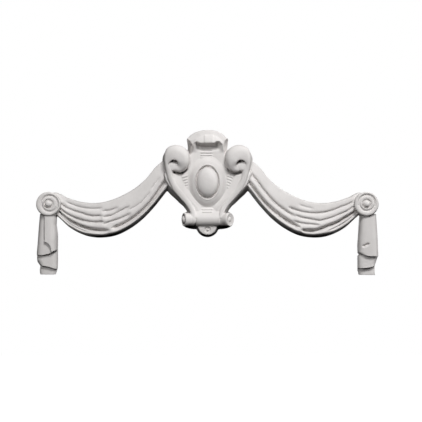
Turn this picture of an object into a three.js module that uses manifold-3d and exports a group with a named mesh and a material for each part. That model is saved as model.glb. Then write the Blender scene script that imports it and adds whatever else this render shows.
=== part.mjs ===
import * as THREE from "three";
import { mergeVertices } from "three/addons/utils/BufferGeometryUtils.js";
import Module from "manifold-3d";

// Overdoor ornament, cast in plaster in one piece: a cartouche in the middle, a swag of gathered
// drapery on each side, a roundel at each outer end and a folded tail of cloth under each roundel.
//
// Millimetres, +Z up, +X to the right. The flat back lies in the wall's plane, y = 0, and the front
// looks along -Y. The origin is on the back, behind the middle of the oval boss.
// Below, depth is the distance in front of the wall, and out is the distance from the middle line.

// Driving dimensions
const ROUNDEL_OUT = 465;
const ROUNDEL_UP = -63.5;
const ROUNDEL_RADIUS = 35.5;
const ROUNDEL_DEPTH = 48;
const TAIL_TOP = -92;
const OVAL_HALF_WIDTH = 36;
const OVAL_HALF_HEIGHT = 50.5;
const OVAL_DEPTH = 66;
const FIELD_DEPTH = 38;
const MOUND_HEIGHT = 13;
const HOOD_TOP = 154;
const HOOD_HALF_WIDTH = 61.5;
const LIP_UP = 114;
const LIP_HALF_WIDTH = 42;
const NECK_UP = 106;
const ROLL_UP = -109;
const ROLL_DEPTH = 38;
const ROLL_RADIUS = 20.5;
const LUG_UP = -126;
const LUG_RADIUS = 28;
const LUG_DEPTH = 45;
const SWAG_DEPTH = 40;
const BURY = 4;
const NUDGE = 1e-3;

// Colour of the cast plaster
const PLASTER = 0xccc7c2;

const { clamp, lerp, smoothstep, degToRad } = THREE.MathUtils;
const wasm = await Module();
wasm.setup();

// A smooth curve through rows of numbers, read from 0 at the first row to 1 at the last.
function through(rows) {
  const last = rows.length - 1;
  const row = (i, k) => {
    if (i < 0) return 2 * rows[0][k] - rows[1][k];
    if (i > last) return 2 * rows[last][k] - rows[last - 1][k];
    return rows[i][k];
  };
  return (share) => {
    const place = clamp(share, 0, 1) * last;
    const i = Math.min(Math.floor(place), last - 1);
    const w = place - i;
    return rows[0].map((_, k) => {
      const [a, b, c, d] = [-1, 0, 1, 2].map((step) => row(i + step, k));
      const [leave, arrive] = [(c - a) / 2, (d - b) / 2];
      const bend = 3 * (c - b) - 2 * leave - arrive;
      const twist = 2 * (b - c) + leave + arrive;
      return ((twist * w + bend) * w + leave) * w + b;
    });
  };
}

// Numbers from 0 to 1, count steps apart, closer together where density is larger.
function spread(count, density) {
  const fine = 240;
  const sums = [0];
  for (let i = 0; i < fine; i++) sums.push(sums[i] + density((i + 0.5) / fine));
  const places = [];
  for (let k = 0, i = 0; k <= count; k++) {
    const goal = (sums[fine] * k) / count;
    while (i < fine - 1 && sums[i + 1] < goal) i++;
    places.push(clamp((i + (goal - sums[i]) / (sums[i + 1] - sums[i])) / fine, 0, 1));
  }
  return places;
}

// A closed solid through stations. A station is a point of the wall's plane, a direction in that
// plane and an outline of [distance along the direction, depth] pairs, equally many at each. A
// third number in a pair raises its point above the others.
function loft(stations) {
  const count = stations[0].outline.length;
  const positions = stations.flatMap(({ x, z, alongX, alongZ, outline }) =>
    outline.flatMap(([along, depth, lift = 0]) => [x + alongX * along, -depth, z + alongZ * along + lift]),
  );
  const faces = [];
  for (let row = 1; row < stations.length; row++)
    for (let i = 0; i < count; i++) {
      const [a, b] = [(row - 1) * count + i, (row - 1) * count + ((i + 1) % count)];
      faces.push([a, b, a + count], [b, b + count, a + count]);
    }
  // Each end is closed. The points are nudged, because a triangulation leaves out points in line,
  // and a face with its corners in the outline's order faces the opposite way to one in reverse.
  const nudged = ([along, depth], i) =>
    new THREE.Vector2(along + NUDGE * Math.sin(7 * i), depth + NUDGE * Math.cos(5 * i));
  for (const end of [0, stations.length - 1]) {
    const contour = stations[end].outline.map(nudged);
    for (const face of THREE.ShapeUtils.triangulateShape(contour, [])) {
      face.sort((a, b) => (end === 0 ? b - a : a - b));
      faces.push(face.map((i) => i + end * count));
    }
  }
  return new THREE.BufferGeometry()
    .setAttribute("position", new THREE.Float32BufferAttribute(positions, 3))
    .setIndex(faces.flat());
}

// A geometry as a solid that can be cut and joined, with its faces pointing out.
function solid(geometry) {
  const bare = geometry.clone();
  for (const name of Object.keys(bare.attributes)) if (name !== "position") bare.deleteAttribute(name);
  const merged = mergeVertices(bare, 1e-4);
  const vertProperties = merged.attributes.position.array;
  const triVerts = new Uint32Array(merged.index.array);
  const make = () => new wasm.Manifold(new wasm.Mesh({ numProp: 3, vertProperties, triVerts }));
  const made = make();
  if (made.volume() > 0) return made;
  triVerts.reverse();
  return make();
}

// Swags of drapery

// The edges of a swag where it meets the wall, from the roundel to the cartouche:
// [out and up of the upper edge, out and up of the lower edge].
const SWAG_EDGES = through([
  [476, -40, 462, -84],
  [448, -28, 438, -104],
  [412, -44, 404, -134],
  [370, -56, 362, -155],
  [328, -59, 320, -162],
  [286, -51, 272, -156],
  [248, -35, 228, -135],
  [212, -14, 190, -106],
  [180, 14, 156, -70],
  [154, 46, 126, -32],
  [134, 82, 98, 4],
]);

// How deep a swag is at its crest, from the roundel to the cartouche.
const SWAG_CREST = through([[26], [33], [SWAG_DEPTH], [SWAG_DEPTH + 1], [SWAG_DEPTH], [38]]);

// Each fold's valley: from and to are places along the swag, at holds its places across the swag
// where it starts, halfway and where it ends, and depth is how far it is cut in.
const SWAG_FOLDS = {
  left: [
    { from: 0.18, to: 0.46, at: [0.17, 0.18, 0.17], depth: 3 },
    { from: 0.08, to: 0.47, at: [0.32, 0.36, 0.39], depth: 6 },
    { from: 0.07, to: 0.46, at: [0.52, 0.56, 0.57], depth: 7 },
    { from: 0.06, to: 0.51, at: [0.66, 0.75, 0.82], depth: 11 },
    { from: 0.42, to: 0.58, at: [0.26, 0.29, 0.28], depth: 3 },
    { from: 0.41, to: 0.65, at: [0.42, 0.43, 0.42], depth: 5 },
    { from: 0.41, to: 0.65, at: [0.64, 0.6, 0.62], depth: 5 },
    { from: 0.47, to: 1, at: [0.79, 0.78, 0.66], depth: 10 },
    { from: 0.6, to: 0.85, at: [0.5, 0.54, 0.49], depth: 3 },
    { from: 0.77, to: 0.97, at: [0.45, 0.46, 0.44], depth: 3 },
  ],
  right: [
    { from: 0.49, to: 1, at: [0.8, 0.78, 0.72], depth: 10 },
    { from: 0.53, to: 1, at: [0.56, 0.52, 0.44], depth: 6 },
    { from: 0.1, to: 0.63, at: [0.21, 0.26, 0.41], depth: 5 },
    { from: 0.08, to: 0.59, at: [0.42, 0.49, 0.53], depth: 6 },
    { from: 0.35, to: 0.58, at: [0.62, 0.64, 0.69], depth: 5 },
    { from: 0.06, to: 0.53, at: [0.6, 0.7, 0.84], depth: 11 },
    { from: 0.42, to: 0.56, at: [0.17, 0.18, 0.19], depth: 2 },
  ],
};

// Where the crest lies across the swag, from the roundel to the cartouche.
const SWAG_CREST_AT = {
  left: through([[0.8], [0.81], [0.81], [0.8]]),
  right: through([[0.66], [0.8], [0.79], [0.76]]),
};

// How deep a fold is cut at a distance across from its valley: steep above it and easy below,
// as cloth hangs.
function foldCut(across) {
  const reach = across < 0 ? 4 : 9;
  return Math.exp(-Math.abs(across) / reach);
}

function foldFade(fold, along) {
  const ease = 0.05;
  return smoothstep(along, fold.from, fold.from + ease) * (1 - smoothstep(along, fold.to - ease, fold.to));
}

function foldPlace({ from, to, at }, along) {
  const share = clamp((along - from) / (to - from), 0, 1);
  return through(at.map((place) => [place]))(share)[0];
}

// How deep one fold cuts in at a place.
function foldDepth(fold, along, place, width) {
  const across = (place - foldPlace(fold, along)) * width;
  return fold.depth * foldFade(fold, along) * foldCut(across);
}

// Depth of a swag's surface, with place running from its upper edge, 0, to its lower edge, 1.
function swagDepth(side, along, place, width) {
  const [crest] = SWAG_CREST(along);
  const [crestAt] = SWAG_CREST_AT[side](along);
  const arch =
    place < crestAt
      ? Math.sqrt(1 - (1 - place / crestAt) ** 1.7)
      : Math.sqrt(1 - ((place - crestAt) / (1 - crestAt)) ** 2.6);
  const cut = SWAG_FOLDS[side].reduce((sum, fold) => sum + foldDepth(fold, along, place, width), 0);
  return crest * arch - cut * Math.min(1, 2.5 * arch * arch);
}

function swag(side, steps = 30, across = 20) {
  const mirror = side === "left" ? -1 : 1;
  const stations = [];
  for (let step = 0; step <= steps; step++) {
    const along = step / steps;
    const [topOut, topUp, lowOut, lowUp] = SWAG_EDGES(along);
    const width = Math.hypot(lowOut - topOut, lowUp - topUp);
    const density = (place) =>
      SWAG_FOLDS[side].reduce(
        (sum, fold) => {
          const distance = Math.abs(place - foldPlace(fold, along)) * width;
          return sum + fold.depth * foldFade(fold, along) * Math.exp(-distance / 5);
        },
        1.6 + 5 * Math.exp(-place * 30) + 6 * Math.exp((place - 1) * 16),
      );
    const places = spread(across, density);
    const front = places.map((place) => [place * width, swagDepth(side, along, place, width)]);
    stations.push({
      x: mirror * topOut,
      z: topUp,
      alongX: (mirror * (lowOut - topOut)) / width,
      alongZ: (lowUp - topUp) / width,
      outline: [[0, -BURY], ...front.slice(1, -1), [width, -BURY]],
    });
  }
  return loft(stations);
}

// Roundels

// Half section of a roundel, from its middle: [radius, depth].
const ROUNDEL_SECTION = [
  [0, ROUNDEL_DEPTH + 2],
  [6, ROUNDEL_DEPTH + 0.5],
  [9.5, ROUNDEL_DEPTH - 4],
  [10.5, ROUNDEL_DEPTH - 10],
  [13, ROUNDEL_DEPTH - 9.5],
  [15, ROUNDEL_DEPTH - 3.5],
  [19, ROUNDEL_DEPTH - 3.5],
  [23, ROUNDEL_DEPTH - 8],
  [25.5, ROUNDEL_DEPTH - 2.5],
  [31, ROUNDEL_DEPTH - 1.5],
  [ROUNDEL_RADIUS - 0.8, ROUNDEL_DEPTH - 4.5],
  [ROUNDEL_RADIUS, ROUNDEL_DEPTH - 9],
  [ROUNDEL_RADIUS - 1, -BURY],
  [0, -BURY],
];

function roundel(mirror) {
  const section = ROUNDEL_SECTION.map(([radius, depth]) => new THREE.Vector2(radius, -depth));
  return new THREE.LatheGeometry(section, 20).translate(mirror * ROUNDEL_OUT, 0, ROUNDEL_UP);
}

// Tails of folded cloth

// A tail is layers of cloth, each one hanging lower than the layer in front of it. Its edges are
// [up, out of the outer edge, out of the inner edge] from the bottom. A hem is [out, up] points.
const TAILS = {
  left: {
    edges: [
      [-271, 489, 446],
      [-258, 491, 440],
      [-245, 489, 438],
      [-232, 498, 438],
      [-203, 498, 438],
      [-182, 495, 438],
      [-153, 492, 438],
      [-124, 489, 442],
      [TAIL_TOP, 485, 441],
    ],
    layers: [
      { depth: 38, outer: 471, hem: [[437, -194], [451, -190], [455, -180], [463, -177], [472, -169]] },
      { depth: 34, hem: [[437, -196], [450, -203], [462, -209], [480, -213], [500, -213]] },
      { depth: 27, hem: [[437, -256], [450, -252], [462, -247], [480, -245], [500, -232]] },
      { depth: 18, hem: [[437, -266], [445, -270], [500, -270]] },
    ],
  },
  right: {
    edges: [
      [-272, 493, 446],
      [-258, 492, 442],
      [-240, 492, 442],
      [-220, 500, 442],
      [-203, 501, 444],
      [-182, 500, 442],
      [-153, 499, 444],
      [-124, 497, 446],
      [TAIL_TOP, 495, 448],
    ],
    layers: [
      { depth: 34, hem: [[440, -206], [452, -209], [470, -215], [502, -216]] },
      { depth: 27, hem: [[440, -252], [466, -251], [485, -247], [502, -240]] },
      { depth: 18, hem: [[440, -271], [502, -272]] },
    ],
  },
};

// The short slit in the front of the right tail.
const SLIT = {
  out: 461,
  up: -183,
  length: 20,
  width: 4.5,
  depth: 6,
  pitch: degToRad(25),
  tilt: degToRad(20),
};

// Reads a column of rows whose first column rises, at a value of that first column.
function readAt(rows, at, column = 1) {
  const next = clamp(rows.findIndex(([key]) => key > at), 1, rows.length - 1);
  const [before, after] = [rows[next - 1], rows[next]];
  return lerp(before[column], after[column], clamp((at - before[0]) / (after[0] - before[0]), 0, 1));
}

// One layer of a tail: its rows run from under the roundel to its hem, and bend to follow it.
function tailLayer(mirror, edges, { depth, hem, outer = Infinity }, steps = 5, across = 7) {
  const stations = [];
  for (let step = 0; step <= steps; step++) {
    const fall = 1 - (1 - step / steps) ** 1.4;
    const points = [];
    for (let i = 0; i <= across; i++) {
      const share = (1 - Math.cos((Math.PI * i) / across)) / 2;
      const middle = lerp(readAt(edges, TAIL_TOP, 2), readAt(edges, TAIL_TOP, 1), share);
      const level = lerp(TAIL_TOP, readAt(hem, middle), fall);
      const [low, high] = [readAt(edges, level, 2), readAt(edges, level, 1)];
      const out = lerp(low, Math.min(high, outer), share);
      const bulge = Math.abs((2 * (out - low)) / (high - low) - 1);
      const up = lerp(TAIL_TOP, readAt(hem, out), fall);
      points.push([mirror * out, depth * Math.sqrt(1 - 0.7 * bulge ** 4), up]);
    }
    const foot = ([along, , up]) => [along, -BURY, up];
    const outline = [foot(points[0]), ...points, foot(points[across])];
    stations.push({ x: 0, z: 0, alongX: 1, alongZ: 0, outline });
  }
  return loft(stations);
}

function slit() {
  return new THREE.BoxGeometry(SLIT.length, 2 * SLIT.depth, SLIT.width)
    .rotateX(SLIT.pitch)
    .rotateY(-SLIT.tilt)
    .translate(SLIT.out, -TAILS.right.layers[0].depth, SLIT.up);
}

function tail(side) {
  const { edges, layers } = TAILS[side];
  return layers.map((layer) => tailLayer(side === "left" ? -1 : 1, edges, layer));
}

// Cartouche

// Outline of the shield from the lower roll to under the hood:
// [up, half width of its face, half width of its foot].
const SHIELD_EDGE = through([
  [-104, 47, 60],
  [-89, 48, 60],
  [-72, 56, 71],
  [-56, 69, 87],
  [-34, 91, 112],
  [-8, 112, 133],
  [20, 124, 143],
  [42, 118, 138],
  [58, 84, 110],
  [72, 58, 70],
  [86, 46, 60],
  [98, 46, 60],
  [106, 48.5, 60.5],
  [112, 51, 61],
]);

// Depth of the shield's face: a flat field, a facet that climbs to the straps at its sides, a swell
// into the roll below, and a neck that comes forward beside the hood's lip.
function shieldDepth(out, up, halfWidth) {
  const facet = 9 * smoothstep(out, halfWidth - 46, halfWidth - 24) * smoothstep(-up, -45, -20);
  const swell = (ROLL_DEPTH + ROLL_RADIUS - 1 - FIELD_DEPTH) * smoothstep(-up, 64, 102);
  const flare = 12 * smoothstep(up, 84, 111) * smoothstep(out, 26, LIP_HALF_WIDTH);
  return FIELD_DEPTH + Math.max(facet, swell) + flare;
}

function shield(steps = 18, across = 10) {
  const stations = [];
  for (let step = 0; step <= steps; step++) {
    const [up, halfWidth, foot] = SHIELD_EDGE(step / steps);
    const front = [];
    for (let i = 0; i <= across; i++) {
      const x = halfWidth * ((2 * i) / across - 1);
      front.push([x, shieldDepth(Math.abs(x), up, halfWidth)]);
    }
    const outline = [[-foot, -BURY], ...front, [foot, -BURY]];
    stations.push({ x: 0, z: up, alongX: 1, alongZ: 0, outline });
  }
  return loft(stations);
}

// The strap that frames the shield on each side, climbs from the lower roll, turns over at the top
// and curls in like a ram's horn: [out and up of its outer edge, out and up of its inner edge, crest
// depth, height of its swell].
const STRAP = through([
  [50, -108, 30, -108, 58.5, 2],
  [52, -86, 37, -86, 55, 5],
  [61, -67, 49, -64, 52, 5],
  [77, -49, 67, -40, 51, 5],
  [100, -24, 87, -14, 52, 6],
  [119, 4, 102, 12, 54, 7],
  [129, 30, 109, 34, 57, 9],
  [133, 55, 112, 50, 60, 11],
  [131, 78, 109, 58, 63, 14],
  [118, 99, 102, 63.5, 66, 18],
  [97, 109, 95, 65.5, 68, 20],
  [74, 105, 89, 64, 69, 20],
  [57, 91, 86, 61, 69, 19],
  [51, 72, 84, 57, 69, 17],
  [53, 50, 83, 53, 67, 15],
  [62, 35, 83.5, 49, 65, 13],
  [74, 26.5, 87, 50.5, 63, 11],
  [86, 25, 92, 54, 62, 10],
  [98, 31, 100, 56, 61, 10],
  [107, 40, 108, 51, 60, 7],
]);
const EYE = { out: 107, up: 45, radius: 7, depth: 58 };
const BED = { out: 93, up: 64, topRadius: 40, footRadius: 51, depth: 36 };

function strap(mirror, steps = 32, across = 6) {
  const stations = [];
  for (let step = 0; step <= steps; step++) {
    const [out, up, innerOut, innerUp, crest, swell] = STRAP(step / steps);
    const width = Math.hypot(innerOut - out, innerUp - up);
    const top = [];
    for (let i = 0; i <= across; i++) {
      const angle = (Math.PI * i) / across;
      top.push([(width * (1 - Math.cos(angle))) / 2, crest - swell + swell * Math.sin(angle) ** 0.9]);
    }
    stations.push({
      x: mirror * out,
      z: up,
      alongX: (mirror * (innerOut - out)) / width,
      alongZ: (innerUp - up) / width,
      outline: [[0, BURY], ...top, [width, BURY]],
    });
  }
  return loft(stations);
}

// The drafted bed under the turned end of a strap.
function bed(mirror) {
  return new THREE.CylinderGeometry(BED.footRadius, BED.topRadius, BED.depth + BURY, 28)
    .translate(mirror * BED.out, (BURY - BED.depth) / 2, BED.up);
}

function eye(mirror) {
  return new THREE.SphereGeometry(EYE.radius, 12, 8)
    .scale(1, 2, 1)
    .translate(mirror * EYE.out, -EYE.depth + 2 * EYE.radius, EYE.up);
}

// The hood: the top of the shield curls forward over its neck, with a scalloped lip in the middle.
function lipHeight(out) {
  const scallop = 6 * Math.sin(Math.PI * clamp((out - 10) / 26, 0, 1));
  const drop = 3 * smoothstep(out, 34, LIP_HALF_WIDTH);
  const rise = 10 * smoothstep(out, 46, HOOD_HALF_WIDTH);
  return LIP_UP + scallop - drop + rise;
}

function hood(steps = 16) {
  const stations = [];
  for (let step = 0; step <= steps; step++) {
    const x = HOOD_HALF_WIDTH * Math.sin(((Math.PI / 2) * (2 * step - steps)) / steps) * 0.99;
    const share = Math.abs(x) / HOOD_HALF_WIDTH;
    const top = lerp(118, HOOD_TOP, Math.sqrt(1 - share ** 2.35));
    const lip = Math.min(lipHeight(Math.abs(x)), top - 4);
    const front = lerp(60, FIELD_DEPTH + 13.5, smoothstep(Math.abs(x), 16, LIP_HALF_WIDTH + 2));
    const outline = [
      [top + 1, -BURY],
      [top, front - 34],
      [top - 1.5, front - 21],
      [lerp(top, lip, 0.2), front - 13],
      [lerp(top, lip, 0.45), front - 9],
      [lerp(top, lip, 0.65), front - 5],
      [lerp(top, lip, 0.9), front],
      [lip, front - 1],
      [lip - 2, front - 6],
      [Math.min(lip - 4, NECK_UP), FIELD_DEPTH - 2],
      [NECK_UP - 2, -BURY],
    ];
    stations.push({ x, z: 0, alongX: 0, alongZ: 1, outline });
  }
  return loft(stations);
}

// The block in the middle of the hood's lip.
const BLOCK = { width: 29, middle: 3 };

function hoodBlock() {
  const outline = new THREE.Shape([
    new THREE.Vector2(139, 44),
    new THREE.Vector2(138, 55),
    new THREE.Vector2(134, 61),
    new THREE.Vector2(117, 65),
    new THREE.Vector2(113, 63),
    new THREE.Vector2(113, 44),
  ]);
  const block = new THREE.ExtrudeGeometry(outline, { depth: BLOCK.width, bevelEnabled: false });
  // The outline's first axis becomes up, its second depth, and the extrusion runs along +X.
  const start = BLOCK.middle - BLOCK.width / 2;
  block.applyMatrix4(new THREE.Matrix4().set(0, 0, 1, start, 0, -1, 0, 0, 1, 0, 0, 0, 0, 0, 0, 1));
  return block;
}

// The tapering leaf on each side of the block.
const WING = through([
  [12, 127, 10.5, 61],
  [22, 127, 9, 60.5],
  [32, 122, 6.5, 57],
  [43, 116, 3, 53],
]);

function hoodWing(mirror, steps = 6, across = 6) {
  const stations = [];
  for (let step = 0; step <= steps; step++) {
    const [out, up, halfHeight, crest] = WING(step / steps);
    const outline = [[up - halfHeight, 40]];
    for (let i = 0; i <= across; i++) {
      const angle = Math.PI * (1 - i / across);
      outline.push([up + halfHeight * Math.cos(angle), crest - 7 + 7 * Math.sin(angle)]);
    }
    outline.push([up + halfHeight, 40]);
    stations.push({ x: mirror * out, z: 0, alongX: 0, alongZ: 1, outline });
  }
  return loft(stations);
}

// Half section of the oval boss and its mound: [share of the half width, depth]. A rim frames a dome.
const OVAL_SECTION = [
  [0, OVAL_DEPTH],
  [0.35, OVAL_DEPTH - 1.2],
  [0.62, OVAL_DEPTH - 4.5],
  [0.8, OVAL_DEPTH - 9],
  [0.9, OVAL_DEPTH - 15],
  [0.93, OVAL_DEPTH - 18],
  [0.96, OVAL_DEPTH - 14],
  [1, OVAL_DEPTH - 15],
  [1.02, FIELD_DEPTH + MOUND_HEIGHT - 1],
  [1.14, FIELD_DEPTH + MOUND_HEIGHT - 1.5],
  [1.34, FIELD_DEPTH + 6],
  [1.55, FIELD_DEPTH - 1],
  [1.55, 20],
  [0, 20],
];

function oval() {
  const section = OVAL_SECTION.map(([share, depth]) => new THREE.Vector2(share * OVAL_HALF_WIDTH, -depth));
  return new THREE.LatheGeometry(section, 22).scale(1, 1, OVAL_HALF_HEIGHT / OVAL_HALF_WIDTH);
}

// Half section of the lower roll's middle drum and of the flaring volute at each side of it:
// [radius, distance along the axis].
const DRUM_SECTION = [
  [0, -33],
  [ROLL_RADIUS - 2, -33],
  [ROLL_RADIUS, -31],
  [ROLL_RADIUS, 31],
  [ROLL_RADIUS - 2, 33],
  [0, 33],
];
const VOLUTE_SECTION = [
  [0, -10],
  [14.5, -10],
  [15, 8],
  [17, 18],
  [17, 20],
  [18.5, 21],
  [20.5, 34],
  [20, 38],
  [17, 39.5],
  [14.5, 37.5],
  [11, 34],
  [9.5, 38],
  [5, 41],
  [0, 41.5],
];
const VOLUTES = { left: { turn: 18, depth: 37 }, right: { turn: 33, depth: 31 } };

function drum() {
  const section = DRUM_SECTION.map(([radius, along]) => new THREE.Vector2(radius, along));
  return new THREE.LatheGeometry(section, 18).rotateZ(Math.PI / 2).translate(0, -ROLL_DEPTH, ROLL_UP);
}

function rollVolute(side) {
  const mirror = side === "left" ? -1 : 1;
  const { turn, depth } = VOLUTES[side];
  const section = VOLUTE_SECTION.map(([radius, along]) => new THREE.Vector2(radius, along));
  return new THREE.LatheGeometry(section, 15)
    .rotateZ((-mirror * Math.PI) / 2 - mirror * degToRad(turn))
    .translate(mirror * 30, -depth, ROLL_UP);
}

// The round lug under the roll, with a pearl in a dimple.
const LUG_FOOT = 7;
const DIMPLE_RADIUS = 10;
const PEARL_RADIUS = 3;
const PEARL_UP = -139;

function lug() {
  const disc = new THREE.CylinderGeometry(LUG_RADIUS + LUG_FOOT, LUG_RADIUS, LUG_DEPTH + BURY, 32)
    .translate(0, (BURY - LUG_DEPTH) / 2, LUG_UP);
  const dimple = new THREE.SphereGeometry(DIMPLE_RADIUS, 14, 6)
    .scale(1, 0.35, 1)
    .translate(0, -LUG_DEPTH, PEARL_UP);
  const pearl = new THREE.SphereGeometry(PEARL_RADIUS, 8, 6).translate(0, 2 - LUG_DEPTH, PEARL_UP);
  return solid(disc).subtract(solid(dimple)).add(solid(pearl));
}

// The back block that joins the roll, the straps' feet and the lug to the wall.
function rollBack() {
  const [halfWidth, high, low] = [60, -86, -130];
  const outline = new THREE.Shape([
    new THREE.Vector2(-halfWidth, high),
    new THREE.Vector2(-halfWidth - 12, (high + low) / 2),
    new THREE.Vector2(-halfWidth - 4, low),
    new THREE.Vector2(halfWidth + 4, low),
    new THREE.Vector2(halfWidth + 12, (high + low) / 2),
    new THREE.Vector2(halfWidth, high),
  ]);
  return new THREE.ExtrudeGeometry(outline, { depth: ROLL_DEPTH + BURY, bevelEnabled: false })
    .rotateX(Math.PI / 2)
    .translate(0, BURY, 0);
}

// Reeding: short raised bars above and below the oval, and a stack of slanting ones on each side.
const BAR_HEIGHT = 4.5;
const BAR_PITCH = 8.5;
const SIDE_BARS = { out: 57, up: 20, pitch: 8, length: 21, shorter: 3.6, tilt: degToRad(20) };

function bar(x, z, length, depth, tilt = 0) {
  return new THREE.CylinderGeometry(BAR_HEIGHT / 2, BAR_HEIGHT / 2, length, 4)
    .rotateZ(Math.PI / 2)
    .scale(1, 1.8, 1)
    .rotateY(tilt)
    .translate(x, -depth, z);
}

function reeding() {
  const bars = [];
  for (let i = 0; i < 3; i++) {
    const up = -68 - BAR_PITCH * i;
    bars.push(bar(0, 86 - BAR_PITCH * i, 38, FIELD_DEPTH), bar(0, up, 46 - 4 * i, shieldDepth(0, up, 55)));
  }
  for (const mirror of [-1, 1])
    for (let i = 0; i < 5; i++) {
      const length = SIDE_BARS.length - SIDE_BARS.shorter * i;
      const x = mirror * (SIDE_BARS.out + length / 2);
      const up = SIDE_BARS.up - SIDE_BARS.pitch * i;
      bars.push(bar(x, up, length, FIELD_DEPTH + 1, mirror * SIDE_BARS.tilt));
    }
  return bars;
}

// All parts of the casting, joined, with the back cut flat in the wall's plane.
function casting() {
  const parts = [
    shield(),
    hood(),
    hoodBlock(),
    oval(),
    drum(),
    rollBack(),
    ...reeding(),
  ];
  for (const side of ["left", "right"]) {
    const mirror = side === "left" ? -1 : 1;
    parts.push(
      swag(side),
      ...tail(side),
      roundel(mirror),
      bed(mirror),
      strap(mirror),
      eye(mirror),
      hoodWing(mirror),
      rollVolute(side),
    );
  }
  const wall = new THREE.BoxGeometry(1200, 60, 600).translate(0, 30, 0);
  const joined = wasm.Manifold.union([...parts.map(solid), lug()]);
  return joined.subtract(solid(wall)).subtract(solid(slit()));
}

function geometryOf(made) {
  const mesh = made.getMesh();
  return new THREE.BufferGeometry()
    .setAttribute("position", new THREE.BufferAttribute(mesh.vertProperties, 3))
    .setIndex(new THREE.BufferAttribute(mesh.triVerts, 1));
}

const ornament = new THREE.Mesh(
  geometryOf(casting()),
  new THREE.MeshStandardMaterial({ color: PLASTER, roughness: 0.85, metalness: 0 }),
);
ornament.name = "swag_casting";

const root = new THREE.Group();
root.add(ornament);

export default root;
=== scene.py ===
import math

import bmesh
import bpy
import numpy as np
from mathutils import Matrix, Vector

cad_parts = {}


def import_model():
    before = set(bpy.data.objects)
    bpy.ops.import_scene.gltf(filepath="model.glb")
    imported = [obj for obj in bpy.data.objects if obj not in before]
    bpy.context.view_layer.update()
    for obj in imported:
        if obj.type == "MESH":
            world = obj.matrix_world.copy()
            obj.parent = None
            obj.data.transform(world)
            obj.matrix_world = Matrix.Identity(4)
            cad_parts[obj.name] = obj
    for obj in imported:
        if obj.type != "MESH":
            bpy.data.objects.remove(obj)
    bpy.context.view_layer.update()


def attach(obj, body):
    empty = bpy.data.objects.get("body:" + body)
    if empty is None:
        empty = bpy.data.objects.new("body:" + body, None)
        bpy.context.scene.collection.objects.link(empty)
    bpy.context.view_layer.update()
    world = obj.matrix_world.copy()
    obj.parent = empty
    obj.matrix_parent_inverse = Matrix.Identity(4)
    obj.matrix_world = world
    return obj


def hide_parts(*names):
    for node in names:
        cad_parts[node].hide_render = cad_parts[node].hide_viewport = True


# Overdoor ornament in cast plaster: a cartouche, two swags, two roundels and two tails.
# Sizes are in millimetres until a mesh is made. Depth is the distance in front of the wall's plane,
# out the distance from the middle line and up the height. Depth runs along -Y.

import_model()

MM = 0.001
BURY = 4.0
FIELD_DEPTH = 38.0
ROLL_UP = -109.0
ROLL_DEPTH = 38.0
ROLL_RADIUS = 20.5
SIDES = (("left", -1), ("right", 1))


# Curves and blends

def through(rows):
    """A smooth curve through rows of numbers, read at shares from 0 to 1."""
    rows = np.array(rows, float)
    if rows.ndim == 1:
        rows = rows[:, None]
    ends = np.vstack([2 * rows[0] - rows[1], rows, 2 * rows[-1] - rows[-2]])
    last = len(rows) - 1

    def read(share):
        place = np.clip(np.asarray(share, float), 0, 1) * last
        i = np.minimum(place.astype(int), last - 1)
        w = (place - i)[..., None]
        a, b, c, d = (ends[i + k] for k in range(4))
        leave = (c - a) / 2
        arrive = (d - b) / 2
        bend = 3 * (c - b) - 2 * leave - arrive
        twist = 2 * (b - c) + leave + arrive
        return ((twist * w + bend) * w + leave) * w + b

    return read


def smooth(low, high, value):
    """An eased step from 0 at low to 1 at high."""
    t = np.clip((value - low) / (high - low), 0, 1)
    return t * t * (3 - 2 * t)


def blend(a, b, share):
    return a + (b - a) * share


def read_at(rows, at, column=1):
    """A column of rows read straight between their first numbers."""
    rows = np.array(rows)
    return np.interp(at, rows[:, 0], rows[:, column])


def eased(rows, at, reach):
    """Rows read at places, with their corners eased over a reach."""
    return sum(read_at(rows, at + shift * reach) for shift in (-1, -0.5, 0, 0.5, 1)) / 5


def rounded(section, step):
    """A section resampled along its own length, closely enough for a round turn."""
    section = np.array(section, float)
    lengths = np.hypot(*np.diff(section, axis=0).T)
    goals = np.append(np.arange(0, lengths.sum(), step), lengths.sum())
    ends = np.append(0, np.cumsum(lengths))
    return np.stack([np.interp(goals, ends, section[:, k]) for k in range(2)], -1)


# Closed forms, each as points and faces

LEAST_RADIUS = 1e-3
forms = []


def loft(rings, mirror=1):
    """A closed form through rings of points: an array of rings, points and (x, depth, up)."""
    count, around = rings.shape[:2]
    points = rings.reshape(-1, 3) * (mirror, 1, 1)
    faces = []
    for row in range(count - 1):
        for i in range(around):
            a = row * around + i
            b = row * around + (i + 1) % around
            faces.append((a, b, b + around, a + around))
    faces.append(tuple(range(around)))
    faces.append(tuple(range((count - 1) * around, count * around)))
    forms.append((points, faces))


def revolve(section, count, place):
    """A closed form turned about an axis: section is (radius, along) pairs, and place maps the
    ring's two directions and the axis to (x, depth, up)."""
    section = np.array(section, float)
    angle = np.linspace(0, 2 * math.pi, count, endpoint=False)
    radius = np.maximum(section[:, :1], LEAST_RADIUS)
    along = section[:, 1:]
    rings = np.stack(np.broadcast_arrays(radius * np.cos(angle), radius * np.sin(angle), along), -1)
    loft(np.stack(place(rings[..., 0], rings[..., 1], rings[..., 2]), -1))


def ball(x, depth, up, radius):
    turn = np.linspace(0, math.pi, 24)

    def place(a, b, along):
        return x + radius * a, depth + radius * along, up + radius * b
    revolve(np.stack([np.sin(turn), np.cos(turn)], -1), 32, place)


# Swags of drapery

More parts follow.
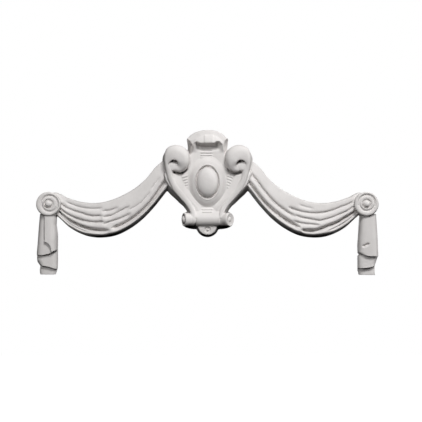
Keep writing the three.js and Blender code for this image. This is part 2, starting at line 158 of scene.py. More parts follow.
# The upper edge's out and up and the lower edge's out and up, from the roundel to the cartouche.
SWAG_EDGES = through([
    (476, -40, 462, -84),
    (448, -28, 438, -104),
    (412, -44, 404, -134),
    (370, -56, 362, -155),
    (328, -59, 320, -162),
    (286, -51, 272, -156),
    (248, -35, 228, -135),
    (212, -14, 190, -106),
    (180, 14, 156, -70),
    (154, 46, 126, -32),
    (129, 68, 98, 4),
])

# The crest's depth along the swag, and its place between the upper edge, 0, and the lower edge, 1.
SWAG_CREST = through([26, 33, 40, 41, 40, 38])
SWAG_CREST_AT = {
    "left": through([0.84, 0.87, 0.88, 0.86]),
    "right": through([0.76, 0.84, 0.88, 0.83]),
}

# The rolled upper lip's share of the width, how far the face leans back from the crest to the lip,
# and the two powers that shape the fall from the crest to the lower edge.
SWAG_LIP = 0.05
SWAG_LEAN = 0.26
SWAG_FALL = (1.9, 0.75)

# A fold's reach above and below its valley, the gain on its depth, the power that shapes its walls,
# and how soon its depth is whole as the surface rises from an edge.
FOLD_ABOVE = 3.2
FOLD_BELOW = 5.2
FOLD_GAIN = 1.5
FOLD_POWER = 1.15
FOLD_WHOLE = 2.5

# Each fold's valley: how far it is cut in, how its ends ease out in shares of the swag's length,
# and its line as (place along, place across) pairs.
SWAG_FOLDS = {
    "left": [
        (3, 0.03, 0.03, [(0.18, 0.17), (0.30, 0.18), (0.452, 0.17)]),
        (5, 0.05, 0.035, [(0.08, 0.33), (0.17, 0.36), (0.30, 0.35), (0.37, 0.39), (0.448, 0.39)]),
        (6, 0.04, 0.035, [(0.07, 0.53), (0.15, 0.57), (0.29, 0.56), (0.34, 0.56), (0.454, 0.56)]),
        (14, 0.04, 0.05, [(0.06, 0.68), (0.14, 0.72), (0.24, 0.74), (0.33, 0.76),
                          (0.40, 0.78), (0.48, 0.82)]),
        (4, 0.035, 0.04, [(0.43, 0.26), (0.49, 0.29), (0.56, 0.28)]),
        (5, 0.035, 0.04, [(0.434, 0.43), (0.50, 0.44), (0.55, 0.41), (0.64, 0.42)]),
        (5, 0.035, 0.04, [(0.428, 0.63), (0.50, 0.59), (0.56, 0.61), (0.64, 0.63)]),
        (12, 0.04, 0.01, [(0.48, 0.77), (0.57, 0.78), (0.69, 0.77), (0.77, 0.77),
                          (0.84, 0.74), (0.93, 0.69), (1, 0.66)]),
        (5, 0.03, 0.1, [(0.05, 0.80), (0.12, 0.83), (0.2, 0.85), (0.3, 0.86), (0.38, 0.87)]),
        (2.5, 0.04, 0.05, [(0.61, 0.50), (0.72, 0.55), (0.82, 0.49)]),
        (2.5, 0.04, 0.04, [(0.80, 0.46), (0.92, 0.44)]),
    ],
    "right": [
        (12, 0.04, 0.01, [(0.50, 0.78), (0.54, 0.77), (0.67, 0.75), (0.78, 0.78),
                          (0.92, 0.75), (1, 0.72)]),
        (6, 0.04, 0.01, [(0.54, 0.55), (0.64, 0.53), (0.71, 0.52), (0.82, 0.48),
                         (0.91, 0.46), (1, 0.44)]),
        (5, 0.04, 0.04, [(0.13, 0.25), (0.18, 0.25), (0.24, 0.23), (0.37, 0.29),
                         (0.44, 0.32), (0.52, 0.35), (0.62, 0.40)]),
        (5, 0.04, 0.04, [(0.10, 0.44), (0.16, 0.45), (0.26, 0.45), (0.34, 0.49),
                         (0.39, 0.52), (0.45, 0.49), (0.57, 0.52)]),
        (4.5, 0.03, 0.04, [(0.38, 0.64), (0.44, 0.63), (0.57, 0.69)]),
        (15, 0.04, 0.05, [(0.07, 0.62), (0.14, 0.66), (0.21, 0.63), (0.26, 0.67),
                          (0.33, 0.69), (0.38, 0.75), (0.43, 0.81), (0.51, 0.84)]),
        (6, 0.03, 0.08, [(0.05, 0.77), (0.12, 0.79), (0.2, 0.79), (0.28, 0.82), (0.35, 0.85)]),
        (2, 0.03, 0.03, [(0.43, 0.18), (0.55, 0.19)]),
    ],
}


def fold_cut(side, along, place, width):
    """How far a swag's folds cut in."""
    cut = np.zeros_like(along + place)
    for depth, start, end, line in SWAG_FOLDS[side]:
        line = np.array(line)
        first = line[0, 0]
        last = line[-1, 0]
        valley = np.interp(along, line[:, 0], line[:, 1])
        fade = smooth(first, first + start, along) * (1 - smooth(last - end, last, along))
        across = (place - valley) * width
        reach = np.where(across < 0, FOLD_ABOVE, FOLD_BELOW)
        cut += FOLD_GAIN * depth * fade * np.exp(-(np.abs(across) / reach) ** FOLD_POWER)
    return cut


def swag_depth(side, along, place, width):
    """Depth of a swag's surface, with place from its upper edge, 0, to its lower edge, 1."""
    crest = SWAG_CREST(along)[..., 0]
    crest_at = SWAG_CREST_AT[side](along)[..., 0]
    above = np.clip(1 - place / crest_at, 0, 1)
    below = np.clip((place - crest_at) / (1 - crest_at), 0, 1)
    lip = np.clip(1 - place / SWAG_LIP, 0, 1)
    face = (1 - SWAG_LEAN * above ** 2) * np.sqrt(1 - lip ** 2)
    arch = np.where(place < crest_at, face, (1 - below ** SWAG_FALL[0]) ** SWAG_FALL[1])
    return crest * arch - fold_cut(side, along, place, width) * np.minimum(1, FOLD_WHOLE * arch * arch)


def swag(side, mirror, steps=300, across=140):
    along = np.linspace(0, 1, steps + 1)[:, None]
    even = np.linspace(0, 1, across + 1)[None, :]
    place = 0.6 * even + 0.4 * (1 - np.cos(math.pi * even)) / 2
    edges = SWAG_EDGES(along[:, 0])
    top = edges[:, None, :2]
    low = edges[:, None, 2:]
    width = np.linalg.norm(low - top, axis=-1)
    flat = blend(top, low, place[..., None])
    depth = swag_depth(side, along, place, width)
    rings = np.stack([flat[..., 0], depth, flat[..., 1]], -1)
    rings[:, 0, 1] = -BURY
    rings[:, -1, 1] = -BURY
    loft(rings, mirror)


# Roundels

ROUNDEL_OUT = 465.0
ROUNDEL_UP = -63.5

# From the ball in the middle over the groove round it, the ring and the outer groove to the rim.
ROUNDEL_SECTION = rounded([
    (0, 49.8), (3, 49.6), (5.6, 48.6), (7.8, 46.4), (9, 43), (9.8, 38), (11, 36.6), (12.4, 38),
    (13.3, 42.6), (14.6, 44.7), (16.5, 45.2), (19, 44.8), (21, 43.2), (22.6, 41.2), (24, 41.2),
    (25.4, 43.4), (27.5, 45.2), (30, 45.9), (32.4, 45.5), (34.4, 43.6), (35.5, 40), (35.5, -BURY),
], 0.7)

# How far the outer groove stands off centre, and the radii between which it does.
ROUNDEL_GROOVE = {"left": (4.4, 0.8), "right": (0.5, 3.2)}
GROOVE_IN = (11, 19)
GROOVE_OUT = (26, 35)

# The direction in which the groove round the ball is filled, how far, and where.
ROUNDEL_FILL = {"left": (0.62, 0.78), "right": (0.1, 0.99)}
BALL_FILL = 4.6
FILL_TOWARD = (-0.7, 0.6)
FILL_IN = (8.2, 10.8)
FILL_OUT = (11.2, 13.6)


def roundel(side, mirror):
    shift_x, shift_up = ROUNDEL_GROOVE[side]
    fill_x, fill_up = ROUNDEL_FILL[side]

    def place(a, b, depth):
        radius = np.hypot(a, b)
        groove = smooth(*GROOVE_IN, radius) * (1 - smooth(*GROOVE_OUT, radius))
        toward = (a * fill_x + b * fill_up) / np.maximum(radius, 1)
        fill = BALL_FILL * smooth(*FILL_TOWARD, toward) * smooth(*FILL_IN, radius)
        fill = fill * (1 - smooth(*FILL_OUT, radius))
        front = depth > 0
        x = mirror * ROUNDEL_OUT + a + np.where(front, shift_x * groove, 0)
        up = ROUNDEL_UP + b + np.where(front, shift_up * groove, 0)
        return x, depth + np.where(front, fill, 0), up
    revolve(ROUNDEL_SECTION, 120, place)


# Tails of folded cloth

TAIL_TOP = -92.0

# Edges are (up, out of the outer edge, out of the inner edge) from the bottom. A layer is its
# depth, the limit of its outer edge and its hem's (out, up) points.
NO_LIMIT = 999
TAILS = {
    "left": ([
        (-271, 489, 446), (-258, 491, 440), (-245, 489, 438), (-232, 498, 438), (-203, 498, 438),
        (-182, 496, 438), (-153, 494, 438), (-124, 492, 442), (TAIL_TOP, 489, 441),
    ], [
        (41.5, 472, [(437, -198), (446, -201), (452, -204), (453.5, -194), (456, -186),
                     (461, -180), (467, -176), (476, -174)]),
        (33.5, NO_LIMIT, [(437, -199), (450, -204), (462, -210), (480, -213), (500, -213)]),
        (25, NO_LIMIT, [(437, -256), (450, -252), (462, -247), (480, -245), (500, -232)]),
        (16, NO_LIMIT, [(437, -266), (445, -270), (500, -270)]),
    ]),
    "right": ([
        (-272, 493, 446), (-258, 492, 442), (-240, 492, 442), (-220, 500, 442), (-216, 501, 442),
        (-211, 501, 446), (-206, 501, 442), (-182, 500, 442), (-153, 499, 444), (-124, 497, 446),
        (TAIL_TOP, 495, 448),
    ], [
        (37, NO_LIMIT, [(440, -207), (452, -210), (470, -216), (502, -217)]),
        (27.5, NO_LIMIT, [(440, -252), (466, -251), (485, -247), (502, -240)]),
        (17, NO_LIMIT, [(440, -271), (502, -272)]),
    ]),
}

# How far each tail hangs out of its measured place, and how its skin falls off toward its edges.
TAIL_SHIFT = {"left": 3.5, "right": 1.0}
TAIL_ROUND = 0.7
TAIL_POWER = 4

# The slit in the right tail: its ends' out and up, its depth, half width and the walls' power.
SLIT_ENDS = (453, -188, 472, -179)
SLIT_DEPTH = 9
SLIT_HALF_WIDTH = 2.4
SLIT_POWER = 1.5


def slit(out, up):
    """How far the slit cuts in at a place: a groove that fades at both ends."""
    x0, z0, x1, z1 = SLIT_ENDS
    run = np.array([x1 - x0, z1 - z0])
    length = np.linalg.norm(run)
    along = ((out - x0) * run[0] + (up - z0) * run[1]) / length ** 2
    across = ((up - z0) * run[0] - (out - x0) * run[1]) / length
    walls = np.exp(-(np.abs(across) / SLIT_HALF_WIDTH) ** SLIT_POWER)
    return SLIT_DEPTH * smooth(-0.1, 0.25, along) * (1 - smooth(0.75, 1.1, along)) * walls


def tail_layer(mirror, shift, edges, depth, outer, hem, steps=120, across=70):
    fall = np.linspace(0, 1, steps + 1)[:, None]
    share = ((1 - np.cos(np.linspace(0, math.pi, across + 1))) / 2)[None, :]
    middle = blend(read_at(edges, TAIL_TOP, 2), read_at(edges, TAIL_TOP, 1), share)
    level = blend(TAIL_TOP, read_at(hem, middle), fall)
    low = read_at(edges, level, 2)
    high = read_at(edges, level, 1)
    out = blend(low, np.minimum(high, outer), share)
    bulge = np.abs(2 * (out - low) / (high - low) - 1)
    up = blend(TAIL_TOP, read_at(hem, out), fall)
    skin = depth * np.sqrt(1 - TAIL_ROUND * bulge ** TAIL_POWER)
    if mirror > 0:
        skin = skin - slit(out, up)
    rings = np.stack([out + shift, skin, up], -1)
    under = rings[-1:].copy()
    under[..., 1] = -BURY
    rings = np.concatenate([rings, under])
    foot = rings[:, [0, -1]].copy()
    foot[..., 1] = -BURY
    loft(np.concatenate([foot[:, :1], rings, foot[:, 1:]], 1), mirror)


def tail(side, mirror):
    edges, layers = TAILS[side]
    for depth, outer, hem in layers:
        tail_layer(mirror, TAIL_SHIFT[side], edges, depth, outer, hem)


# Shield of the cartouche

# Height, half width of the face and half width at the wall, from the roll to the hood.
SHIELD_EDGE = through([
    (-104, 47, 60), (-89, 48, 60), (-72, 56, 71), (-56, 69, 87), (-34, 91, 112), (-8, 112, 133),
    (20, 124, 143), (42, 118, 138), (58, 84, 110), (72, 58, 70), (86, 47, 60), (98, 44, 60),
    (106, 43.5, 60.5), (112, 45, 61), (118, 49, 61.3), (125, 56.5, 61.5),
])
NECK_LEAN = 2.5

# The raised facet beside the straps, the neck's flare, the hollow under the hood and the undercut
# round each curl, with the middle of the curl as (out, up) and the undercut's middle radius.
FACET = 9
FLARE = 11
MOUTH = 11
UNDERCUT = 17
CURL = (84, 54)
UNDERCUT_RADIUS = 24
UNDERCUT_REACH = 6.5


def shield_depth(out, up, half_width):
    facet = FACET * np.clip((out - half_width + 46) / 22, 0, 1) * smooth(-45, -20, -up)
    swell = ROLL_RADIUS * smooth(64, 109, -up)
    flare = FLARE * smooth(84, 111, up) * smooth(26, 42, out) * (1 - 0.55 * smooth(110, 125, up))
    mouth = MOUTH * smooth(90, 108, up) * (1 - smooth(22, 42, out))
    reach = np.hypot(out - CURL[0], up - CURL[1])
    downward = smooth(0.3, 0.8, (CURL[1] - up) / np.maximum(reach, 1))
    undercut = UNDERCUT * np.exp(-((reach - UNDERCUT_RADIUS) / UNDERCUT_REACH) ** 4) * downward
    return FIELD_DEPTH + np.maximum(facet, swell) + flare - mouth - undercut


def shield(steps=180, across=160):
    edge = SHIELD_EDGE(np.linspace(0, 1, steps + 1))
    up, half, foot = (edge[:, k:k + 1] for k in range(3))
    x = half * np.linspace(-1, 1, across + 1)[None, :]
    depth = shield_depth(np.abs(x), up, half)
    level = np.broadcast_to(up, x.shape)
    lean = NECK_LEAN * smooth(75, 92, up) * (1 - smooth(112, 124, up))
    face = np.stack([x + lean, depth, level], -1)
    ends = [np.stack([s * foot, -BURY + 0 * foot, up], -1) for s in (-1, 1)]
    loft(np.concatenate([ends[0], face, ends[1]], 1))


# Straps that end in ram's horns

# Outer edge's out and up, inner edge's out and up, crest depth, and the swell's height above the
# outer and the inner edge.
STRAP = through([
    (48, -106, 34, -104, 58.5, 2, 2),
    (52, -86, 36.5, -81, 55, 4, 5),
    (64, -67, 50, -56, 52, 4, 6),
    (80, -49, 66, -35, 51, 4, 7),
    (101, -24, 84, -13.5, 52, 4, 8),
    (115, 4, 97, 9.5, 54, 5, 8),
    (122, 30, 103, 34, 57, 6, 8),
    (127, 55, 112, 50, 60, 8, 4),
    (127, 78, 109, 58, 63, 13, 3),
    (118, 99, 104, 62.5, 66, 18, 3),
    (97, 109, 98, 64, 68, 22, 4),
    (74, 105, 92, 63.5, 69, 23, 4),
    (57, 91, 88, 61, 69, 22, 4),
    (51.5, 73, 85, 56.5, 68, 21, 4),
    (53, 56, 84, 52, 65.5, 20, 5),
    (59, 43, 85, 49, 62, 15, 5),
    (68, 34.5, 88, 47, 58.5, 10, 5),
    (80, 30, 92, 45, 56, 7, 4),
    (93, 31.5, 99, 44, 53.5, 7, 3),
    (103, 38, 106, 43, 52.5, 4, 3),
])

# How far the strap's outer wall slopes: in from the edge at the top and out from it at the foot.
STRAP_DRAFT = through([
    (2, 4), (2, 6), (2, 8), (2, 11), (2, 12), (2, 10), (2, 10), (2, 10), (1, 3.5), (0, 2),
    (0, 2), (0, 2), (0, 3), (0, 3), (0, 3), (0, 3), (0, 2), (0, 2), (0, 2), (0, 2),
])

# The power that fills the strap's crown.
STRAP_POWER = 0.9

# The ground under each curl: out, up, radii at the top and at the wall, and depth.
BED = (93, 68, 30, 42, 44)

# The tongue between the strap's curl and its end: out, up, depth, half width, half height and
# swell, and how far its foot goes back from that depth.
TONGUE = (104, 45.5, 42, 22, 14, 14)
TONGUE_FOOT = -12


def strap(mirror, steps=420, across=44):
    share = np.linspace(0, 1, steps + 1)
    rows = STRAP(share)
    inset, outset = (STRAP_DRAFT(share)[:, k:k + 1] for k in range(2))
    angle = np.linspace(0, math.pi, across + 1)[None, :]
    outer = rows[:, None, :2]
    inner = rows[:, None, 2:4]
    width = np.linalg.norm(inner - outer, axis=-1)
    place = inset / width + (1 - inset / width) * (1 - np.cos(angle)) / 2
    crest = rows[:, 4:5]
    swell = np.where(angle < math.pi / 2, rows[:, 5:6], rows[:, 6:7])
    depth = crest - swell + swell * np.maximum(np.sin(angle), 0) ** STRAP_POWER
    flat = blend(outer, inner, place[..., None])
    top = np.stack([flat[..., 0], depth, flat[..., 1]], -1)
    foot = top[:, [0, -1]].copy()
    foot[:, 0, [0, 2]] = blend(outer, inner, (-outset / width)[..., None])[:, 0]
    foot[:, 0, 1] = -BURY
    foot[:, 1, 1] = BURY
    loft(np.concatenate([foot[:, :1], top, foot[:, 1:]], 1), mirror)


def bed(mirror):
    out, up, top, low, depth = BED

    def place(a, b, along):
        return mirror * out + a, along, up + b
    revolve([(0, depth), (top, depth), (low, -BURY), (0, -BURY)], 96, place)


def tongue(mirror):
    out, up, depth, wide, high, proud = TONGUE
    share = np.linspace(0, 1, 30)
    crown = np.append((1 - share ** 4) ** 0.25 * proud, TONGUE_FOOT)
    section = np.stack([np.append(share, 1), crown], -1)

    def place(a, b, along):
        return mirror * out + wide * a, depth + along, up + high * b
    revolve(np.vstack([section, (0, TONGUE_FOOT)]), 72, place)


# Hood and neck

NECK_UP = 106.0
HOOD_HALF_WIDTH = 61
HOOD_FACE = 49
HOOD_CURVE = 3

# The hood's silhouette, its lip, how deep the lip stands and the tops of its two wings,
# as (x, value) pairs.
HOOD_TOPS = [
    (-61, 128.5), (-60, 130), (-56, 134), (-50, 140), (-39, 146.5), (-26, 151), (-12, 153.5),
    (0, 154.3), (13, 154), (27, 151.5), (37, 147.5), (44, 143.5), (53, 136), (60, 129.5), (61, 128.5),
]
HOOD_LIPS = [
    (-61, 125.5), (-58, 125), (-54, 121), (-49, 114.5), (-45, 106.5), (-42, 110), (-38, 115.5),
    (-34, 117.5), (-30, 117), (-24, 113.5), (-17, 113), (0, 113), (21, 113), (25, 117), (31, 118.5),
    (37, 117.5), (42, 112.5), (47, 107.5), (50, 115), (54, 121), (58, 125), (61, 125.5),
]
LIP_DEPTHS = [
    (-61, 46), (-50, 47), (-44, 49.5), (-38, 54), (-28, 57), (-16, 58.5),
    (20, 58.5), (30, 57), (40, 54), (46, 49.5), (52, 47), (61, 46),
]
WING_TOPS = [
    (-61, 122), (-50, 122), (-41, 126), (-30, 132), (-17, 138),
    (21, 138), (30, 133), (41, 128), (50, 122), (61, 122),
]

# How much wider the hood is at the wall, and how much it narrows over 50 mm of depth.
HOOD_WIDEN = 1.008
HOOD_TAPER = 0.045


def hood(steps=200):
    turn = np.linspace(-math.pi / 2, math.pi / 2, steps + 1)
    x = HOOD_HALF_WIDTH * 0.997 * np.sin(turn)
    top = eased(HOOD_TOPS, x, 1.5)
    lip = eased(HOOD_LIPS, x, 2.5)
    lip_depth = eased(LIP_DEPTHS, x, 5)
    wing = np.clip(eased(WING_TOPS, x, 5), lip + 1.5, top - 1)
    rim = np.clip((top - lip) / 12, 0.2, 1)
    face = HOOD_FACE - HOOD_CURVE * (np.abs(x) / HOOD_HALF_WIDTH) ** 2
    flat = 0 * x
    end = smooth(42, 50, np.abs(x))
    outline = [
        (top + 1, flat - BURY),
        (top, face - 22),
        (top - 0.8 * rim, face - 10),
        (top - 2.2 * rim, face - 4),
        (top - 4.5 * rim, face - 1),
        (blend(top - 6 * rim, wing, 0.5), face),
        (wing, face + 1),
        (blend(wing, lip, 0.25), blend(face, lip_depth, 0.45)),
        (blend(wing, lip, 0.6), blend(face, lip_depth, 0.85)),
        (np.minimum(lip + 3, wing), lip_depth),
        (lip + 1, lip_depth - 0.5),
        (lip - 0.5, lip_depth - 3),
        (lip - 1.5, lip_depth - 9),
        (blend(np.minimum(lip - 4, NECK_UP), lip - 1.5, end), flat + FIELD_DEPTH - 12),
        (blend(NECK_UP - 2, lip - 1.5, end), flat - BURY),
    ]
    lines = []
    for up, depth in outline:
        lines.append(np.stack([x * (HOOD_WIDEN - HOOD_TAPER * depth / 50), depth, up], -1))
    loft(np.stack(lines, 1))


# The block on the hood: width, middle and how far its sides round back, with its (up, depth) outline.
BLOCK_WIDTH = 29.0
BLOCK_MIDDLE = 3.5
BLOCK_ROUND = 5
BLOCK_OUTLINE = rounded([
    (139.5, 46), (138.5, 50), (136, 54), (130, 57), (122, 59.5), (117, 60.5), (114.2, 60),
    (113, 57.5), (112.5, 46),
], 1.0)


def hood_block():
    up = BLOCK_OUTLINE[:, 0]
    depth = BLOCK_OUTLINE[:, 1]
    flat = 0 * up
    rings = []
    for share in np.linspace(-1, 1, 31):
        x = BLOCK_MIDDLE + share * BLOCK_WIDTH / 2 + flat
        rings.append(np.stack([x, depth - BLOCK_ROUND * abs(share) ** 14, up], -1))
    loft(np.stack(rings))


# Oval boss on its mound

OVAL_HALF_WIDTH = 36.0
OVAL_HALF_HEIGHT = 50.5
DOME_RADIUS = 31.4
DOME_BASE = 46.5
DOME_RISE = 19.5
DOME_POWER = 2.8
MOUND_RADIUS = 62

# Radius and depth from the dome's foot over the groove and the rim to the mound's foot.
OVAL_RIM = through([
    (31.4, 46.5), (32.6, 43.4), (33.9, 45.5), (34.9, 50.4), (36, 52.6), (37.2, 52), (38.6, 50.6),
    (41, 49.6), (44.5, 47.2), (48, 43.8), (52, 40.2), (57, 37.4), (MOUND_RADIUS, 36),
])


def oval():
    def place(a, b, depth):
        return a, depth, b * OVAL_HALF_HEIGHT / OVAL_HALF_WIDTH
    radius = DOME_RADIUS * np.sin(np.linspace(0, math.pi / 2, 60))
    crown = DOME_BASE + DOME_RISE * np.sqrt(1 - (radius / DOME_RADIUS) ** DOME_POWER)
    rim = OVAL_RIM(np.linspace(0, 1, 120))
    revolve(np.vstack([np.stack([radius, crown], -1), rim, (MOUND_RADIUS, 20), (0, 20)]), 180, place)


# Lower roll with its volutes, and the ground behind it

# Sections are (radius, along) pairs.
DRUM = [
    (0, -60), (14, -60), (14, -35.5), (17, -33.8), (19.4, -32.4), (20.5, -30),
    (20.5, 33), (19.4, 35.4), (17, 36.8), (14, 38.5), (14, 60), (0, 60),
]
VOLUTE_ROLL = [
    (0, -10), (14, -10), (14.5, 5), (17.5, 7.4), (19.2, 10), (19.5, 13), (18.4, 20), (19, 26),
    (20.3, 33), (20, 38), (18, 39.8), (16.6, 39),
]

# Each volute's start from the middle, its turn toward the front in degrees, its depth and section.
VOLUTES = {
    "left": (32.5, 20, 36, VOLUTE_ROLL + [
        (15.5, 34), (13.2, 30), (11.4, 31), (10.8, 37), (9.4, 41.2), (6.6, 43.6), (3.4, 44.7), (0, 45),
    ]),
    "right": (34.5, 36, 31, VOLUTE_ROLL + [
        (14.8, 38), (12.8, 37.8), (11, 38.1), (9, 36.8), (7.8, 36.6), (6.4, 38), (4, 39.8), (0, 40.4),
    ]),
}

# The drafted ground under the roll: (depth, half width, half height), and how square its corners are.
ROLL_GROUND = ((-BURY, 75, 29), (0, 75, 29), (ROLL_DEPTH - 4, 66, 19))
GROUND_POWER = 0.55


def drum():
    def place(a, b, along):
        return along, ROLL_DEPTH + a, ROLL_UP + b
    revolve(rounded(DRUM, 1.5), 96, place)


def roll_volute(side, mirror):
    start, turn, depth, section = VOLUTES[side]
    c = math.cos(math.radians(turn))
    s = math.sin(math.radians(turn))

    def place(a, b, along):
        return mirror * (start + c * along - s * a), depth + s * along + c * a, ROLL_UP + b
    revolve(rounded(section, 0.7), 100, place)


def roll_back():
    turn = np.linspace(0, 2 * math.pi, 97)[:-1]
    c = np.cos(turn)
    s = np.sin(turn)
    rings = []
    for depth, wide, high in ROLL_GROUND:
        x = wide * np.sign(c) * np.abs(c) ** GROUND_POWER
        up = ROLL_UP + high * np.sign(s) * np.abs(s) ** GROUND_POWER
        rings.append(np.stack([x, depth + 0 * x, up], -1))
    loft(np.array(rings))


# Lug under the roll, with a dimple and a pearl

LUG_UP = -126.0
LUG_RADIUS = 28.0
LUG_DEPTH = 45.0
LUG_FOOT = 7.0
DIMPLE_RADIUS = 9.8
DIMPLE_DEPTH = 4.0
PEARL_RADIUS = 3.4
PEARL_UP = -139.0
PEARL_SUNK = 3


def lug():
    section = [
        (0, LUG_DEPTH), (LUG_RADIUS - 2.5, LUG_DEPTH), (LUG_RADIUS - 0.8, LUG_DEPTH - 0.8),
        (LUG_RADIUS, LUG_DEPTH - 2.5), (LUG_RADIUS + LUG_FOOT, -BURY), (0, -BURY),
    ]

    def place(a, b, depth):
        share = np.clip(1 - (a * a + (b + LUG_UP - PEARL_UP) ** 2) / DIMPLE_RADIUS ** 2, 0, 1)
        dimple = np.where(depth > LUG_DEPTH - 1, DIMPLE_DEPTH * np.sqrt(share), 0)
        return a, depth - dimple, LUG_UP + b
    revolve(rounded(section, 0.8), 140, place)
    ball(0, LUG_DEPTH - PEARL_SUNK, PEARL_UP, PEARL_RADIUS)


# Reeding

BAR_HALF_WIDTH = 2.4
BAR_HEIGHT = 2.2
SIDE_BAR_HEIGHT = 1.3
NECK_BARS = (95, 87.5, 80, 72.7)
NECK_BAR_X = -2.5
NECK_BAR_LENGTH = 38
LOW_BARS = ((-61.5, 46), (-70.3, 42), (-79.1, 36), (-87.6, 32))
LOW_BAR_X = -0.5

# The side bars' inner end, the first one's height and length, and the step of both.
SIDE_BARS = 5
SIDE_BAR_IN = 56.5
SIDE_BAR_UP = (17, 8)
SIDE_BAR_LENGTH = (20, 3.2)
SIDE_BAR_TILT = math.radians(20)


def bar(x, up, length, depth, tilt=0.0, height=BAR_HEIGHT):
    c = math.cos(tilt)
    s = math.sin(tilt)
    half = length / 2
    section = [
        (0, -half), (1.4, 1 - half), (BAR_HALF_WIDTH, 4 - half),
        (BAR_HALF_WIDTH, half - 4), (1.4, half - 1), (0, half),
    ]

    def place(a, b, along):
        return x + c * along - s * b, depth + height * a / BAR_HALF_WIDTH, up + s * along + c * b
    revolve(section, 24, place)


def reeding():
    for up in NECK_BARS:
        bar(NECK_BAR_X, up, NECK_BAR_LENGTH, float(shield_depth(0, up, 46)))
    for up, length in LOW_BARS:
        bar(LOW_BAR_X, up, length, float(shield_depth(0, up, 55)))
    for side, mirror in SIDES:
        for i in range(SIDE_BARS):
            length = SIDE_BAR_LENGTH[0] - SIDE_BAR_LENGTH[1] * i
            x = mirror * (SIDE_BAR_IN + length / 2)
            up = SIDE_BAR_UP[0] - SIDE_BAR_UP[1] * i
            bar(x, up, length, FIELD_DEPTH + 0.6, -mirror * SIDE_BAR_TILT, SIDE_BAR_HEIGHT)


# One casting from all the forms

VOXEL = 0.0008
SMOOTHING = 0.5
SMOOTHINGS = 5
MOST_TRIANGLES = 190000
SHARP_FROM = math.radians(60)
NORMAL_WEIGHT = 80


def make_forms():
    shield()
    hood()
    hood_block()
    oval()
    drum()
    roll_back()
    reeding()
    lug()
    for side, mirror in SIDES:
        swag(side, mirror)
        tail(side, mirror)
        roundel(side, mirror)
        bed(mirror)
        strap(mirror)
        tongue(mirror)
        roll_volute(side, mirror)


def joined():
    """All the forms as one object, still passing through each other."""
    points = []
    faces = []
    start = 0
    for form_points, form_faces in forms:
        points.append(form_points)
        faces += [tuple(i + start for i in face) for face in form_faces]
        start += len(form_points)
    points = np.concatenate(points) * MM
    points[:, 1] *= -1
    mesh = bpy.data.meshes.new("drapery_ornament")
    mesh.from_pydata(points, [], faces)
    made = bpy.data.objects.new("drapery_ornament", mesh)
    bpy.context.scene.collection.objects.link(made)
    return made


def apply(thing, kind, **settings):
    modifier = thing.modifiers.new(kind, kind)
    for name, value in settings.items():
        setattr(modifier, name, value)
    depsgraph = bpy.context.evaluated_depsgraph_get()
    made = bpy.data.meshes.new_from_object(thing.evaluated_get(depsgraph))
    thing.modifiers.clear()
    old = thing.data
    thing.data = made
    bpy.data.meshes.remove(old)


def cut_flat(thing):
    """Cuts off what lies behind the wall's plane and closes the back with one flat face."""
    mesh = bmesh.new()
    mesh.from_mesh(thing.data)
    whole = mesh.verts[:] + mesh.edges[:] + mesh.faces[:]
    bmesh.ops.bisect_plane(mesh, geom=whole, plane_co=(0, 0, 0), plane_no=(0, 1, 0), clear_outer=True)
    edges = [edge for edge in mesh.edges if edge.is_boundary]
    bmesh.ops.triangle_fill(mesh, edges=edges, use_beauty=False, use_dissolve=False)
    bmesh.ops.triangulate(mesh, faces=mesh.faces[:])
    mesh.to_mesh(thing.data)
    mesh.free()


def casting():
    made = joined()
    apply(made, "REMESH", mode="VOXEL", voxel_size=VOXEL)
    cut_flat(made)
    apply(made, "SMOOTH", factor=SMOOTHING, iterations=SMOOTHINGS)
    apply(made, "DECIMATE", ratio=min(1.0, MOST_TRIANGLES / len(made.data.polygons)))
    made.data.shade_smooth()
    made.data.set_sharp_from_angle(angle=SHARP_FROM)
    apply(made, "WEIGHTED_NORMAL", weight=NORMAL_WEIGHT, keep_sharp=True)
    return made


# Plaster

PLASTER_TONES = ((0.672, 0.648, 0.634, 1), (0.735, 0.711, 0.698, 1))
PLASTER_ROUGHNESS = (0.72, 0.9)
PLASTER_SPECULAR = 0.25

# Noise scale and detail for the tone's clouds, the sheen, the grain and the trowel's unevenness.
CLOUDS = (22, 5)
SHEEN = (130, 4)
GRAIN = (1400, 3)
TROWEL = (75, 3)
GRAIN_DEPTH = 0.00007
TROWEL_DEPTH = 0.0006

# Air pits: cells to the metre, the part of a cell that is the pit's slope, and depth.
PIT_SCALE = 70.0
PIT_SLOPE = (0.01, 0.08)
PIT_DEPTH = 0.00015


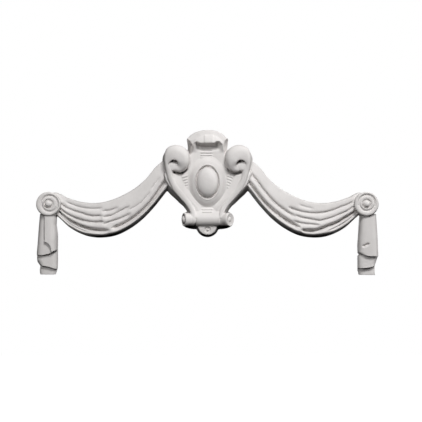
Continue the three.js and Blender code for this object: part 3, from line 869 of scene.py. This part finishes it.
def plaster():
    """Cast plaster: cloudy tone, a hand's soft unevenness, fine grain and a few air pits."""
    material = bpy.data.materials.new("plaster")
    material.use_nodes = True
    tree = material.node_tree
    shader = tree.nodes["Principled BSDF"]
    shader.inputs["Specular IOR Level"].default_value = PLASTER_SPECULAR
    place = tree.nodes.new("ShaderNodeTexCoord").outputs["Object"]

    def node(kind, **values):
        made = tree.nodes.new(kind)
        for name, value in values.items():
            made.inputs[name.replace("_", " ")].default_value = value
        return made

    def noise(scale, detail):
        made = node("ShaderNodeTexNoise", Scale=scale, Detail=detail, Roughness=0.6)
        tree.links.new(place, made.inputs["Vector"])
        return made.outputs["Fac"]

    def spread(value, low, high, to_low, to_high):
        made = node("ShaderNodeMapRange", From_Min=low, From_Max=high, To_Min=to_low, To_Max=to_high)
        tree.links.new(value, made.inputs["Value"])
        return made.outputs["Result"]

    def bump(height, depth, below=None):
        made = node("ShaderNodeBump", Strength=1.0, Distance=depth)
        tree.links.new(height, made.inputs["Height"])
        if below:
            tree.links.new(below, made.inputs["Normal"])
        return made.outputs["Normal"]

    tone = tree.nodes.new("ShaderNodeMix")
    tone.data_type = "RGBA"
    tree.links.new(spread(noise(*CLOUDS), 0.3, 0.7, 0, 1), tone.inputs["Factor"])
    colors = [socket for socket in tone.inputs if socket.type == "RGBA"]
    colors[0].default_value, colors[1].default_value = PLASTER_TONES
    mixed = [socket for socket in tone.outputs if socket.type == "RGBA"][0]
    tree.links.new(mixed, shader.inputs["Base Color"])
    tree.links.new(spread(noise(*SHEEN), 0.3, 0.7, *PLASTER_ROUGHNESS), shader.inputs["Roughness"])

    bubbles = node("ShaderNodeTexVoronoi", Scale=PIT_SCALE)
    tree.links.new(place, bubbles.inputs["Vector"])
    pits = spread(bubbles.outputs["Distance"], *PIT_SLOPE, 0, 1)
    rough = bump(noise(*GRAIN), GRAIN_DEPTH)
    worked = bump(noise(*TROWEL), TROWEL_DEPTH, rough)
    tree.links.new(bump(pits, PIT_DEPTH, worked), shader.inputs["Normal"])
    return material


# Camera, floor and lights, in metres and degrees

CAMERA_LENS = 84.9
CAMERA_SENSOR = 36
CAMERA_ABOUT = (0, -0.05, 0)
CAMERA_AIM = (0.0102, -0.05, -0.084)
CAMERA_TURN = (0, -3)
CAMERA_AWAY = 2.9
FLOOR_UP = -1
FLOOR_HALF = 4
FLOOR_TONE = 0.8
LAMPS_AIM = (0, 0, -0.05)
LAMPS_AWAY = 3.2

# Each lamp's azimuth, elevation, size and power.
LAMPS = {
    "key": (18, 43, 0.77, 78),
    "right": (80, 25, 1.0, 31),
    "front": (-14, 19, 1.0, 32),
    "back": (180, 5, 1.4, 70),
}


def toward(azimuth, elevation):
    az = math.radians(azimuth)
    el = math.radians(elevation)
    return Vector((math.sin(az) * math.cos(el), -math.cos(az) * math.cos(el), math.sin(el)))


def stand(name, data, place, aim):
    """A camera or lamp at a place, turned to what it is aimed at."""
    made = bpy.data.objects.new(name, data)
    bpy.context.scene.collection.objects.link(made)
    made.location = place
    made.rotation_euler = (Vector(aim) - Vector(place)).to_track_quat("-Z", "Y").to_euler()
    return made


def camera():
    data = bpy.data.cameras.new("camera")
    data.lens = CAMERA_LENS
    data.sensor_width = CAMERA_SENSOR
    place = Vector(CAMERA_ABOUT) + CAMERA_AWAY * toward(*CAMERA_TURN)
    bpy.context.scene.camera = stand("camera", data, place, CAMERA_AIM)


def lamps():
    for name, (azimuth, elevation, size, power) in LAMPS.items():
        data = bpy.data.lights.new(name, "AREA")
        data.energy = power
        data.size = size
        place = Vector(LAMPS_AIM) + LAMPS_AWAY * toward(azimuth, elevation)
        stand(name, data, place, LAMPS_AIM).visible_camera = False


def floor():
    """A plain pale floor that doesn't light the undersides."""
    corners = [(-1, -1), (1, -1), (1, 1), (-1, 1)]
    mesh = bpy.data.meshes.new("floor")
    mesh.from_pydata([(FLOOR_HALF * x, FLOOR_HALF * y, FLOOR_UP) for x, y in corners], [], [(0, 1, 2, 3)])
    ground = bpy.data.objects.new("floor", mesh)
    bpy.context.scene.collection.objects.link(ground)
    material = bpy.data.materials.new("floor")
    material.use_nodes = True
    shader = material.node_tree.nodes["Principled BSDF"]
    shader.inputs["Base Color"].default_value = (FLOOR_TONE, FLOOR_TONE, FLOOR_TONE, 1)
    shader.inputs["Emission Color"].default_value = (1, 1, 1, 1)
    shader.inputs["Emission Strength"].default_value = 1.0
    mesh.materials.append(material)
    ground.visible_diffuse = False
    ground.visible_glossy = False


def world():
    """A white background that the camera sees and that gives no light of its own."""
    made = bpy.data.worlds.new("studio")
    bpy.context.scene.world = made
    made.use_nodes = True
    tree = made.node_tree
    tree.nodes.clear()
    output = tree.nodes.new("ShaderNodeOutputWorld")
    path = tree.nodes.new("ShaderNodeLightPath")
    mix = tree.nodes.new("ShaderNodeMixShader")
    dark = tree.nodes.new("ShaderNodeBackground")
    seen = tree.nodes.new("ShaderNodeBackground")
    dark.inputs["Strength"].default_value = 0.0
    seen.inputs["Color"].default_value = (1, 1, 1, 1)
    tree.links.new(path.outputs["Is Camera Ray"], mix.inputs[0])
    tree.links.new(dark.outputs[0], mix.inputs[1])
    tree.links.new(seen.outputs[0], mix.inputs[2])
    tree.links.new(mix.outputs[0], output.inputs[0])


make_forms()
piece = casting()
piece.data.materials.clear()
piece.data.materials.append(plaster())
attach(piece, "root")
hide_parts("swag_casting")

camera()
floor()
world()
lamps()
bpy.context.scene.view_settings.view_transform = "Standard"
